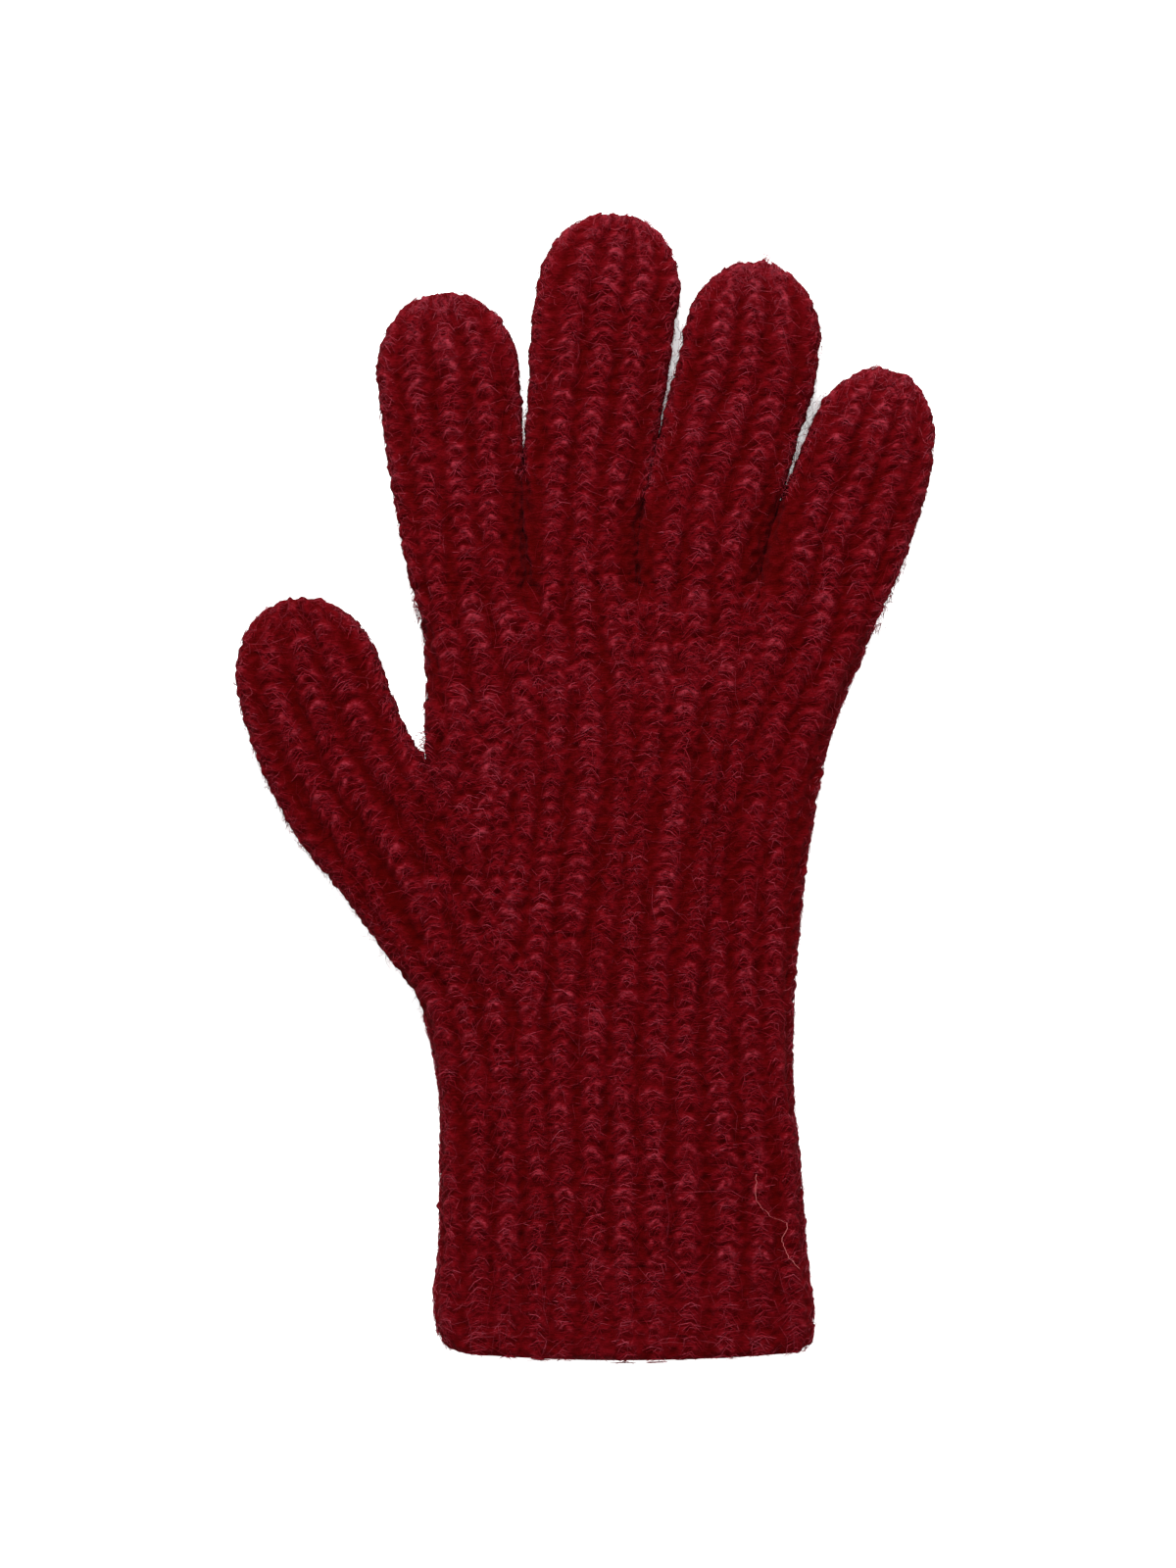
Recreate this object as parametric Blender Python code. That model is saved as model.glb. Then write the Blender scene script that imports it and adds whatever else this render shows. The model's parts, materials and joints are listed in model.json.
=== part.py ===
"""A long-cuffed knitted glove for the left hand, lying flat and empty with its palm up.

The fabric is a chain of flat hollow tubes. Each tube ends where a worn glove bends: at the wrist,
the knuckles and the two finger joints. A tube that moves starts in a round barrel, which turns
inside the socket of the tube before it, so the glove bends towards the palm, up from the table.
The fingers fan out, but they all bend about lines straight across the hand, so that they can close
together without crossing. The thumb bends about lines square to itself.
X runs across the hand with the thumb at -X, Y runs from the hem to the fingertips, Z is up.
"""

import math

import bmesh
import bpy
from mathutils import Matrix, Vector

MM = 0.001
LENGTH = 260 * MM
THICKNESS = 14 * MM
WALL = 3 * MM
NEIGHBOUR_GAP = 0.3 * MM
TURNING_GAP = 0.6 * MM
BARREL = THICKNESS / 2
SOCKET = BARREL + TURNING_GAP
SIDE_STEPS = 6
WALL_STEPS = 3

WRIST = 64 * MM
HAND_END = 162 * MM
FINGERTIP_ROUND = 15 * MM
TIP_OPENING_ANGLE = 60
DOME_ANGLES = (0, 22, 42, TIP_OPENING_ANGLE)

# The hand's edges: distance from the hem, then the thumb side and the little finger side.
HAND_EDGES = (
    (64, -33.4, 47.4),
    (82, -37.0, 47.7),
    (98, -37.0, 49.0),
    (122, -36.8, 52.0),
    (142, -36.4, 57.9),
    (161.7, -36.3, 65.1),
)
CUFF_EDGES = ((64, -33.4, 47.4), (42, -33.0, 49.0), (21.8, -33.4, 50.8))
HEM_EDGES = (
    (21.5, -34.2, 51.4),
    (9, -34.8, 51.9),
    (4, -33.6, 50.6),
    (1.2, -31.2, 48.2),
    (0, -28.4, 45.4),
)

# The thumb gusset: a point on its outer edge and the matching point on its palm side.
GUSSET_EDGES = (
    ((-33.0, 76), (-12.0, 82)),
    ((-42.5, 89), (-16.0, 104)),
    ((-55.0, 106), (-28.0, 124)),
)

# Each finger: the middle of its knuckle, its lean in degrees, the lengths of its three sections,
# its widths at the hand, the knuckle, the two joints and the tip, and the middle of its root.
# Lengths and widths are along and across the finger itself.
FINGERS = {
    "index": ((-27.7, 186), -5.4, (20, 17, 19.2), (23.9, 25.6, 28.6, 31.0, 31.5), -24.3),
    "middle": ((-1.1, 188), 6.2, (27, 22, 23.3), (22.9, 25.2, 29.0, 31.5, 32.0), -0.2),
    "ring": ((26.2, 186), 14.4, (23, 19.5, 21.7), (24.7, 26.6, 28.2, 29.8, 30.0), 24.4),
    "little": ((56.3, 184), 18.6, (14.5, 13, 15.5), (27.6, 30.6, 29.3, 28.4, 28.0), 51.2),
}
THUMB_KNUCKLE = (-54.9, 133.8)
THUMB_LEAN = -22
THUMB_TIP_TURN = 7.5
THUMB_LENGTHS = (19, 21.6)
THUMB_WIDTHS = (32.0, 32.4, 31.4)

YARN = (0.135, 0.004, 0.009, 1.0)


def clear_scene():
    for thing in list(bpy.data.objects):
        bpy.data.objects.remove(thing)


def yarn_material(name, brightness):
    """Wool of one dye lot, a little lighter or darker from piece to piece."""
    material = bpy.data.materials.new(name + "_wool")
    material.use_nodes = True
    shader = material.node_tree.nodes["Principled BSDF"]
    colour = [channel * brightness for channel in YARN[:3]] + [1.0]
    shader.inputs["Base Color"].default_value = colour
    shader.inputs["Roughness"].default_value = 0.95
    shader.inputs["Metallic"].default_value = 0.0
    material.diffuse_color = colour
    return material


def plan(x_mm, y_mm):
    """A place on the glove's middle plane, given in millimetres across and up from the hem."""
    return Vector((x_mm * MM, y_mm * MM - LENGTH / 2, 0))


def station(centre, lean, width, height=THICKNESS):
    """One cross-section of a tube: where its middle is, where it faces and its outer size."""
    return {"centre": centre, "lean": math.radians(lean), "width": width, "height": height}


def edge_station(y_mm, left_mm, right_mm, lean=0.0):
    centre = plan((left_mm + right_mm) / 2, y_mm)
    return station(centre, lean, (right_mm - left_mm) * MM)


def no_reach(height):
    return 0.0


def barrel_reach(height):
    """How far a barrel's surface stands behind its axis at this height above or below it."""
    return -math.sqrt(max(BARREL**2 - height**2, 0.0))


def socket_reach(height):
    """How far a socket stops short of the axis: round below it, and cut back where it folds."""
    if height >= 0:
        return -SOCKET
    return -math.sqrt(SOCKET**2 - height**2)


def ring(place, inset=0.0, reach=no_reach):
    """The points round one cross-section: flat above and below, half round at both sides."""
    half_height = place["height"] / 2 - inset
    flat = place["width"] / 2 - inset - half_height
    across = Vector((math.cos(place["lean"]), -math.sin(place["lean"]), 0))
    onward = Vector((math.sin(place["lean"]), math.cos(place["lean"]), 0))
    points = []
    for side in (1, -1):
        for step in range(SIDE_STEPS + 1):
            angle = side * (step / SIDE_STEPS - 0.5) * math.pi
            sideways = side * (flat + half_height * math.cos(angle))
            up = half_height * math.sin(angle)
            points.append(
                place["centre"] + across * sideways + onward * reach(up) + Vector((0, 0, up))
            )
    return points


def new_object(name, mesh, parent, brightness):
    thing = bpy.data.objects.new(name, mesh)
    bpy.context.scene.collection.objects.link(thing)
    thing.parent = parent
    mesh.materials.append(yarn_material(name, brightness))
    mesh.shade_smooth()
    mesh.set_sharp_from_angle(angle=math.radians(35))
    return thing


def mesh_through(name, rings, capped):
    """A closed skin through the rings in turn, with end caps or joined from the last to the first."""
    shape = bmesh.new()
    loops = [[shape.verts.new(point) for point in points] for points in rings]
    pairs = list(zip(loops, loops[1:]))
    if capped:
        shape.faces.new(loops[0])
        shape.faces.new(loops[-1])
    else:
        pairs.append((loops[-1], loops[0]))
    for near, far in pairs:
        for here in range(len(near)):
            after = (here + 1) % len(near)
            shape.faces.new((near[here], near[after], far[after], far[here]))
    bmesh.ops.recalc_face_normals(shape, faces=shape.faces)
    bmesh.ops.triangulate(shape, faces=shape.faces)
    mesh = bpy.data.meshes.new(name)
    shape.to_mesh(mesh)
    shape.free()
    return mesh


def tube(name, parent, stations, start=no_reach, end=no_reach, brightness=1.0):
    """A hollow tube of fabric, open at both ends, whose ends are flat, barrels or sockets."""
    insets = [WALL * step / WALL_STEPS for step in range(WALL_STEPS + 1)]
    middle = stations[1:-1]
    rings = [ring(stations[0], inset, start) for inset in reversed(insets)]
    rings += [ring(place) for place in middle]
    rings += [ring(stations[-1], inset, end) for inset in insets]
    rings += [ring(place, WALL) for place in reversed(middle)]
    return new_object(name, mesh_through(name, rings, capped=False), parent, brightness)


def solid(name, parent, rings, brightness=1.0):
    return new_object(name, mesh_through(name, rings, capped=True), parent, brightness)


def cutter(name, parent, rings):
    """A solid that only cuts others and isn't a piece of the glove."""
    thing = solid(name, parent, rings)
    thing.hide_render = True
    thing.display_type = "WIRE"
    return thing


def cut(thing, tool):
    step = thing.modifiers.new("cut_" + tool.name, "BOOLEAN")
    step.operation = "DIFFERENCE"
    step.object = tool


def axis(name, parent, place, lean=0.0):
    """An empty on a bending axis, with X along the axis and Y along the section that turns."""
    empty = bpy.data.objects.new(name, None)
    bpy.context.scene.collection.objects.link(empty)
    empty.parent = parent
    turn = Matrix.Rotation(-math.radians(lean), 4, "Z")
    empty.matrix_local = Matrix.Translation(place) @ turn
    empty.empty_display_size = 10 * MM
    return empty


def along(distance, lean):
    """How far a finger that leans this much gets across and up its parent's axis frame."""
    lean = math.radians(lean)
    return Vector((math.sin(lean), math.cos(lean), 0)) * distance


def square_cut(distance, width, lean, turn=0.0):
    """A section across a leaning finger, cut parallel to the line it bends about."""
    return station(along(distance, lean), turn, width / math.cos(math.radians(lean)))


def bending_section(name, parent, length, widths, lean, brightness, turn=0.0):
    """A finger section from the barrel on its own axis to the socket of the next one."""
    length = length * MM
    near, far = widths[0] * MM, widths[1] * MM
    half_way = (length - SOCKET) / 2
    half_way_width = near + (far - near) * half_way / length
    stations = [
        square_cut(0, near, lean),
        square_cut(half_way, half_way_width, lean, turn / 2),
        square_cut(length, far, lean, turn),
    ]
    tube(name, parent, stations, barrel_reach, socket_reach, brightness)


def dome_station(angle, length, width, lean):
    """The fingertip narrows as an ellipse seen from above, and thins towards its end."""
    angle = math.radians(angle)
    distance = length - FINGERTIP_ROUND * (1 - math.sin(angle))
    height = THICKNESS * math.sqrt(math.cos(angle))
    return station(along(distance, lean), lean, width * math.cos(angle), height)


def fingertip(name, parent, length, widths, lean, brightness):
    """The last section, and the drawn-up last loops that close its end."""
    length = length * MM
    stations = [square_cut(0, widths[0] * MM, lean)]
    stations += [dome_station(angle, length, widths[1] * MM, lean) for angle in DOME_ANGLES]
    if stations[1]["centre"].y < 2 * WALL:
        del stations[1]
    tube(name + "_tip", parent, stations, barrel_reach, no_reach, brightness)
    opening = stations[-1]
    loops = [
        (length - 7 * MM, 0.75),
        (length - 2.4 * MM, 1.0),
        (length - 1.0 * MM, 0.9),
        (length, 0.5),
    ]
    room = WALL + NEIGHBOUR_GAP
    rings = []
    for distance, share in loops:
        width = (opening["width"] - 2 * room) * share
        height = (opening["height"] - 2 * room) * share
        rings.append(ring(station(along(distance, lean), lean, width, height)))
    solid(name + "_tip_loops", parent, rings, brightness)


def hand():
    """The palm and the back of the hand, one wide tube, and the gusset on its thumb side."""
    base = axis("hand_frame", None, Vector((0, 0, THICKNESS / 2)))
    edges = [edge_station(*edge, lean=180) for edge in reversed(HAND_EDGES)]
    palm = tube("hand", base, edges, no_reach, socket_reach, 1.0)

    knuckle = station(plan(*THUMB_KNUCKLE), THUMB_LEAN, THUMB_WIDTHS[0] * MM)
    gusset_stations = []
    for outer, inner in GUSSET_EDGES:
        left, right = plan(*outer), plan(*inner)
        side = right - left
        lean = -math.degrees(math.atan2(side.y, side.x))
        gusset_stations.append(station((left + right) / 2, lean, side.length))
    gusset_stations.append(knuckle)
    gusset = tube("thumb_gusset", base, gusset_stations, no_reach, socket_reach, 0.96)

    grown = [
        station(place["centre"], 180, place["width"] + 2 * NEIGHBOUR_GAP,
                THICKNESS + 2 * NEIGHBOUR_GAP)
        for place in edges
    ]
    cut(gusset, cutter("hand_room", base, [ring(place) for place in grown]))
    hole_inset = WALL + NEIGHBOUR_GAP
    hole = cutter("thumb_hole", base, [ring(place, hole_inset) for place in gusset_stations])
    cut(palm, hole)
    return base


def cuff(base):
    """The ribbed cuff below the wrist and the doubled hem that ends it."""
    place = plan(0, WRIST / MM)
    wrist = axis("wrist_axis", base, place)
    cuff_stations = [edge_station(*edge, lean=180) for edge in CUFF_EDGES]
    hem_stations = [edge_station(*edge, lean=180) for edge in HEM_EDGES]
    for part in cuff_stations + hem_stations:
        part["centre"] = part["centre"] - place
    tube("cuff", wrist, cuff_stations, barrel_reach, no_reach, 0.94)
    tube("cuff_hem", wrist, hem_stations, no_reach, no_reach, 0.88)


def finger(base, name):
    """A finger's root, fixed to the hand, and the three sections that bend after it."""
    knuckle, lean, lengths, widths, root_middle = FINGERS[name]
    hand_side = station(plan(root_middle, HAND_END / MM), 0, widths[0] * MM)
    knuckle_side = square_cut(0, widths[1] * MM, lean)
    knuckle_side["centre"] = plan(*knuckle)
    tube(name + "_root", base, [hand_side, knuckle_side], no_reach, socket_reach, 1.0)
    first = axis(name + "_knuckle_axis", base, plan(*knuckle))
    bending_section(name + "_base", first, lengths[0], widths[1:3], lean, 1.04)
    second = axis(name + "_middle_axis", first, along(lengths[0] * MM, lean))
    bending_section(name + "_middle", second, lengths[1], widths[2:4], lean, 1.08)
    third = axis(name + "_tip_axis", second, along(lengths[1] * MM, lean))
    fingertip(name, third, lengths[2], widths[3:5], lean, 1.14)


def thumb(base):
    """The two sections of the thumb, which stands off the hand and curves towards the fingers."""
    first = axis("thumb_knuckle_axis", base, plan(*THUMB_KNUCKLE), THUMB_LEAN)
    bending_section(
        "thumb_base", first, THUMB_LENGTHS[0], THUMB_WIDTHS[0:2], 0, 1.02, THUMB_TIP_TURN
    )
    second = axis("thumb_tip_axis", first, along(THUMB_LENGTHS[0] * MM, 0), THUMB_TIP_TURN)
    fingertip("thumb", second, THUMB_LENGTHS[1], THUMB_WIDTHS[1:3], 0, 1.1)


def main():
    clear_scene()
    base = hand()
    cuff(base)
    for name in FINGERS:
        finger(base, name)
    thumb(base)


main()
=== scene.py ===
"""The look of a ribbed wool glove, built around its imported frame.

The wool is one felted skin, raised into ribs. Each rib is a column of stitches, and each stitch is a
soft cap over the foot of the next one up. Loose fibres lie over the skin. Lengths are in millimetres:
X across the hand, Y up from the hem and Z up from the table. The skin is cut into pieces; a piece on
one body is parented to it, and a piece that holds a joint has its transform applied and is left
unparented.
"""

import json
import math

import bpy
import numpy as np
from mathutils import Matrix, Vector
from mathutils.kdtree import KDTree


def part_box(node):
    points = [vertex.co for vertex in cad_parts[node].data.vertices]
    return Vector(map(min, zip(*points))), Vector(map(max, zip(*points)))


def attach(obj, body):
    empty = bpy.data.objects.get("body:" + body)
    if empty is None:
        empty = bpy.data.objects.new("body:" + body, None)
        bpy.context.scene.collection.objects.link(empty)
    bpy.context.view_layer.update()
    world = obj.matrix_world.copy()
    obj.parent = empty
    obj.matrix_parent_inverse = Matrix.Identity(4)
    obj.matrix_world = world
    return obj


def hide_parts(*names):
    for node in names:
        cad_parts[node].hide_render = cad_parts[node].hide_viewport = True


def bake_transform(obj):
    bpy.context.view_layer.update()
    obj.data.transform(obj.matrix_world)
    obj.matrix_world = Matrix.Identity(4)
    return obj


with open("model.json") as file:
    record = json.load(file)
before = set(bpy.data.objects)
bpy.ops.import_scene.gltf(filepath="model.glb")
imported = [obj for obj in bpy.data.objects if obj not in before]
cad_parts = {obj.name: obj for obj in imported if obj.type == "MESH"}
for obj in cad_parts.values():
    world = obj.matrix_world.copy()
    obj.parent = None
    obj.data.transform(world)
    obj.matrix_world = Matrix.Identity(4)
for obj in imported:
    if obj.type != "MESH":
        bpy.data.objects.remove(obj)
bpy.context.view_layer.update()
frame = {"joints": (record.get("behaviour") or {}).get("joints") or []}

METRES = 0.001
HEM_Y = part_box("cuff_hem")[0].y / METRES
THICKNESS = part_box("hand")[1].z / METRES
HALF = THICKNESS / 2
random = np.random.default_rng(11)

# The knit, and how deep under the CAD's surface its felted skin, its lining and the mouth's lip lie.
ROW_HEIGHT = 3.7
RIB_PITCH = 7.3
RIB_HALF_WIDTH = 3.35
RIB_HEIGHT = 1.7
FELT_HEIGHT = 0.32
RIBS_ROUND_FINGER = 10
SKIN_DEPTH = 2.2
EDGE_DEPTH = 0.1
LINING_DEPTH = 4.4
LIP_DEPTH = 3.3
DOME_LENGTH = 17.0
STRANDS_PER_STITCH = 8
HAIRS_PER_STITCH = 5
PILE_PER_EDGE_STITCH = 26

# Stitches nearer than this to another rib are left out, and those that fill gaps are as wide as
# the stitches of ribs this far apart.
LEAST_PITCH = 2.4
FILLING_PITCH = 5.5

# A stitch's cap: how high it stands, from 0 to 1, at these places up from its middle, how much it
# sags this far to its sides, where its upper edge is painted paler (a painted highlight), and the
# crease down its middle.
CAP_PLACES = (-3.9, -2.6, 0.0, 1.0, 1.7, 2.3)
CAP_HEIGHTS = (0.0, 0.30, 0.84, 1.0, 0.8, 0.0)
CAP_SAG, CAP_SAG_AT, CAP_SAG_CURVE = 1.7, 2.4, 1.6
CAP_EDGE, CAP_EDGE_WIDTH = 1.1, 0.55
CREASE_DEPTH, CREASE_WIDTH = 0.22, 0.55
# How sharply caps merge where they meet, and the felt's waves.
MERGE = 8
FELT_WAVES = 44
FELT_WAVE_LENGTHS = (1.0, 3.0)
# The skin and the places that fibres are drawn through come no nearer to the table than these.
LOWEST, LOWEST_FIBRE = 0.15, 0.1
# How high fibres lie over a stitch, as a share of its height.
CAP_SHARE = 0.88

# The skin's mesh: the gap between its rings, their sides, how far a piece is tucked under the next,
# and how many stitches raise each place.
GRAIN = 0.52
PALM_SIDES = 384
FINGER_SIDES = 128
TUCK = 0.35
NEIGHBOURS = 7

# How much paler the wool is painted at these places: painted light at the fingertips, the thumb's tip
# and the glove's sides, and a paler hem. How far from its end a tip is painted paler and how that
# fades, and the thumb's and the lining's own shade.
TIP_PAINTED_LIGHT = 0.52
THUMB_TIP_PAINTED_LIGHT = 0.30
PALER_HEM = 0.22
SIDE_PAINTED_LIGHT = 0.30
TIP_REACH, TIP_FADE = 24.0, 1.3
THUMB_SHADE = -0.12
LINING_SHADE = 0.6
# How much paler a stitch's height, its cap's edge and the felt's waves make a place: painted shade
# that darkens the valleys and the felt's hollows, and a painted highlight on each cap's upper edge.
HEIGHT_SHADE, CAP_HIGHLIGHT, FELT_SHADE = 0.85, 0.28, 0.14

# The wool's colours in its valleys, where they are painted shade, over most of it, and at its palest,
# where the caps' edges, the fingertips and the glove's sides are painted light.
FELTED_COLOURS = ((0.021, 0.0, 0.0), (0.044, 0.0006, 0.0015), (0.100, 0.0090, 0.0145))
LOOSE_COLOURS = ((0.040, 0.0003, 0.0006), (0.070, 0.0024, 0.0050), (0.126, 0.0190, 0.0285))
# The pile is paler than the felted wool: painted light for the glowing halo of fuzz round the glove's
# edges.
PILE_COLOURS = ((0.09, 0.004, 0.008), (0.14, 0.014, 0.022), (0.21, 0.040, 0.052))
PALE_COLOURS = ((0.16, 0.02, 0.02), (0.22, 0.05, 0.05), (0.30, 0.09, 0.09))

# Distance up from the hem, then the thumb side and the little finger side of the cuff and palm.
PALM_EDGES = (
    (0.0, -26.5, 44.6),
    (1.5, -30.3, 48.9),
    (5.0, -33.1, 51.0),
    (9.0, -34.0, 51.2),
    (14.0, -34.5, 51.0),
    (21.5, -33.6, 49.9),
    (42.0, -33.0, 48.3),
    (64.0, -33.6, 46.3),
    (75.0, -35.8, 46.3),
    (86.0, -39.4, 46.7),
    (98.0, -41.5, 47.8),
    (108.0, -40.0, 48.7),
    (122.0, -37.0, 50.8),
    (142.0, -36.2, 55.0),
    (162.0, -36.4, 63.2),
    (178.0, -39.4, 69.8),
)
# Where the hem, the cuff, the wrist and the palm end, and where the fingers part.
HEM_END = 21.6
CUFF_END = 50.0
WRIST_END = 80.0
EDGE_RIB_END = 167.0
FORK_Y = 175.0
PALM_END = 178.0
# No stitch nearer to the hem than these is the thumb's or a finger's own.
THUMB_START_Y = 100.0
FINGER_START_Y = 165.0
# The line where the thumb's ribs meet the palm's, how wide the fold along it is, and how far each
# side sinks under the other there.
THUMB_FOLD = ((-14.5, 70.0), (-37.1, 134.8))
FOLD_WIDTH = 5.0
PALM_FOLD_DEPTH = 1.0
THUMB_FOLD_DEPTH = 1.2
# How far below the forks the palm parts into fingers, and by what share it thins at the forks.
PARTING = 9.0
FORK_SINK = 0.2
# How the hem bows: its depth, how far up it is felt, and the hem's middle and half its width.
HEM_BOW = 1.8
HEM_BOW_END = 14.0
HEM_MIDDLE = 8.5
HEM_HALF_WIDTH = 38.0
# How far up the mouth rounds off, how thick it is at its end as a share of the palm, and how far up
# the lip between its skin and its lining lies.
MOUTH_ROUNDING = 3.5
MOUTH_LIP = 0.45
LIP_Y = 0.4

# How far across the twelve ribs of the palm's front lie, at four distances up from the hem.
CUFF_RIBS_Y, WRIST_RIBS_Y, PALM_RIBS_Y, ROOT_Y = 42, 66, 150, 162.0
CUFF_RIBS = (-30.5, -24.3, -17.8, -11.2, -5.0, 1.7, 8.4, 15.4, 22.7, 31.2, 38.6, 45.6)
WRIST_RIBS = (-31.3, -25.4, -18.9, -12.4, -5.8, 1.2, 8.2, 15.2, 22.3, 29.8, 36.7, 43.2)
PALM_RIBS = (-29.2, -21.7, -14.3, -6.8, 0.6, 8.1, 15.6, 23.0, 30.5, 37.9, 45.4, 52.6)
ROOT_RIBS = (-31.4, -24.3, -17.2, -7.2, -0.2, 6.9, 17.0, 24.4, 31.8, 42.9, 51.2, 59.4)
# The three ribs that end on the thumb's fold: where each starts, and its place there.
FOLD_RIBS = ((123.0, -32.4), (104.0, -26.0), (86.0, -19.0))

# How much further apart the ribs are at the hem.
HEM_SPREAD = 1.02
THUMB_HEM_SPREAD = 1.03
# Where the lowest stitches are, where ribs go on past a finger's knuckle and start at the thumb's
# edge, how far short of a tip's end they stop, and how far rows are shifted from rib to rib.
FIRST_STITCH_Y = 2.0
PAST_KNUCKLE = 1.0
THUMB_EDGE_START = -44.0
END_GAP = 0.9
SLIP = 1.2
# The gaps between the places that a rib's line is drawn through, half the length over which a
# tube's direction is read, and how nearly its dome closes.
PALM_STEP = 3.0
TUBE_STEP = 1.5
PROBE = 0.5
ALMOST_CLOSED = 0.9995

# Where uneven stitches fill the gaps between ribs: up from the hem, across, and how far they lean.
FILLED = (((84.0, 150.0), (-36.0, -12.0), 0.25), ((150.0, 171.0), (-18.0, 44.0), 0.0))
FILLING_GAP = 3.7

# The places that a long stray hair on the cuff passes through.
STRAY_HAIR = (
    (38.0, 42.5), (38.2, 37.2), (41.0, 33.7), (45.0, 31.5),
    (43.8, 28.0), (45.3, 24.6), (47.6, 21.9),
)

# The lines that the thumb's ribs follow over the ball of the thumb, before its knuckle.
THUMB_RIBS = {
    -1: ((-31.3, 66), (-33.2, 77), (-38.2, 88), (-44.5, 100), (-52.5, 114.5)),
    0: ((-25.4, 66), (-27.3, 78), (-31.6, 91), (-37.8, 104), (-45.8, 119)),
    1: ((-18.9, 66), (-20.6, 78), (-24.8, 92), (-31.0, 106.5), (-38.6, 121.5)),
    2: ((-29.6, 112.5), (-33.0, 120.5), (-37.2, 129.5)),
}
# The ball of the thumb and the thumb: the middle of each cross-section and its width.
THUMB_LINE = ((-22.5, 79.0), (-29.3, 96.5), (-41.5, 115.0))
THUMB_WIDTHS = (23.4, 31.8, 33.4, 33.0, 32.8, 28.6)
THUMB_LENGTH_PAST_JOINT = 21.4
THUMB_TIP_TURN = 8.0

# Each finger: the middle of its root, its widths at the root, the knuckle, the two joints and the
# tip, how far its tip is past the last joint, and by how many degrees it turns there to the thumb.
FINGERS = {
    "index": (-24.4, (25.0, 27.6, 30.3, 31.8, 30.0), 18.6, 1.5),
    "middle": (-0.2, (24.2, 27.4, 30.4, 31.8, 30.8), 22.6, -4.5),
    "ring": (24.4, (26.0, 30.0, 30.8, 30.6, 29.0), 21.2, 10.0),
    "little": (50.4, (27.4, 30.8, 30.0, 27.8, 26.0), 14.3, -1.0),
}
# How far each joint's bend reaches before and after its axis, from the knuckle to the tip.
BEND_REACH = {
    "index": ((9.5, 8.5), (8.5, 8.0), (7.5, 7.5)),
    "middle": ((9.5, 9.5), (9.5, 9.5), (9.0, 8.0)),
    "ring": ((9.5, 9.5), (9.5, 8.5), (8.5, 8.0)),
    "little": ((9.5, 6.5), (6.2, 6.0), (5.5, 6.5)),
}
WRIST_REACH = (13.0, 13.0)
THUMB_REACH = ((9.5, 8.5), (8.5, 8.5))
# How far before its first bend a finger's first moving piece starts.
BEFORE_BEND = 1.0

# How much of the table the camera sees from top to bottom.
VIEW_HEIGHT = 354.72


def smooth(at, marks, values):
    """A smooth curve through the values at the marks, read at the places given."""
    marks = np.asarray(marks, float)
    values = np.asarray(values, float)
    at = np.atleast_1d(np.asarray(at, float))
    slopes = np.gradient(values, marks, axis=0)
    low = np.clip(np.searchsorted(marks, at) - 1, 0, len(marks) - 2)
    gap = marks[low + 1] - marks[low]
    share = np.clip((at - marks[low]) / gap, 0, 1)
    if values.ndim == 2:
        share = share[:, None]
        gap = gap[:, None]
    near, far = 1 - share, share
    return (
        near**2 * (1 + 2 * far) * values[low]
        + far**2 * (1 + 2 * near) * values[low + 1]
        + near * far * gap * (near * slopes[low] - far * slopes[low + 1])
    )


def progress(value, start, end):
    """How far a value is on its way from start to end, from 0 to 1."""
    return np.clip((value - start) / (end - start), 0, 1)


def unit(vectors):
    length = np.linalg.norm(vectors, axis=-1, keepdims=True)
    return vectors / np.maximum(length, 1e-9)


def turned(way, degrees):
    """A direction across the table, turned towards the little finger's side."""
    cosine, sine = math.cos(math.radians(degrees)), math.sin(math.radians(degrees))
    return np.array([way[0] * cosine + way[1] * sine, way[1] * cosine - way[0] * sine])


def joint(name):
    """The frame's record of a joint."""
    [found] = [each for each in frame["joints"] if each["name"] == name]
    return found


def joint_place(name):
    """Where a joint's axis is, across and up from the hem."""
    x, y, _ = joint(name)["pos_m"]
    return np.array([x / METRES, y / METRES - HEM_Y])


def to_row(points):
    """Turns places measured from the hem in millimetres into the frame's metres."""
    return (points + np.array([0.0, HEM_Y, 0.0])) * METRES


# ---- tubes of fabric


def stadium(half_width, half_height, share):
    """Places across and up on a flat section, at shares of the way round from its front's middle."""
    arc = share * (4 * (half_width - half_height) + 2 * math.pi * half_height)
    side = np.sign(arc)
    away = np.abs(arc)
    flat = np.maximum(half_width - half_height, 0)
    angle = np.clip((away - flat) / np.maximum(half_height, 1e-6), 0, math.pi)
    past = np.maximum(away - flat - math.pi * half_height, 0)
    across = side * (np.minimum(away, flat) + half_height * np.sin(angle) - past)
    return across, half_height * np.cos(angle)


def finger_tube(name):
    """The line, widths and marks of a finger, measured along it from its knuckle."""
    root_middle, widths, past_joint, turn = FINGERS[name]
    knuckle = joint_place(name + "_knuckle_bend")
    second = joint_place(name + "_middle_bend")
    third = joint_place(name + "_tip_bend")
    tip = third + turned(unit(third - knuckle), -turn) * past_joint
    points = np.array([(root_middle, ROOT_Y), knuckle, second, third, tip])
    return make_tube(points, widths, 1)


def thumb_tube():
    knuckle = joint_place("thumb_knuckle_bend")
    second = joint_place("thumb_tip_bend")
    tip = second + turned(unit(second - knuckle), THUMB_TIP_TURN) * THUMB_LENGTH_PAST_JOINT
    points = np.array([*THUMB_LINE, knuckle, second, tip])
    return make_tube(points, THUMB_WIDTHS, 3)


def make_tube(points, widths, knuckle_index):
    steps = np.linalg.norm(np.diff(points, axis=0), axis=1)
    marks = np.concatenate([[0], np.cumsum(steps)])
    marks = marks - marks[knuckle_index]
    return {"marks": marks, "points": points, "widths": np.array(widths), "end": marks[-1]}


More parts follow.
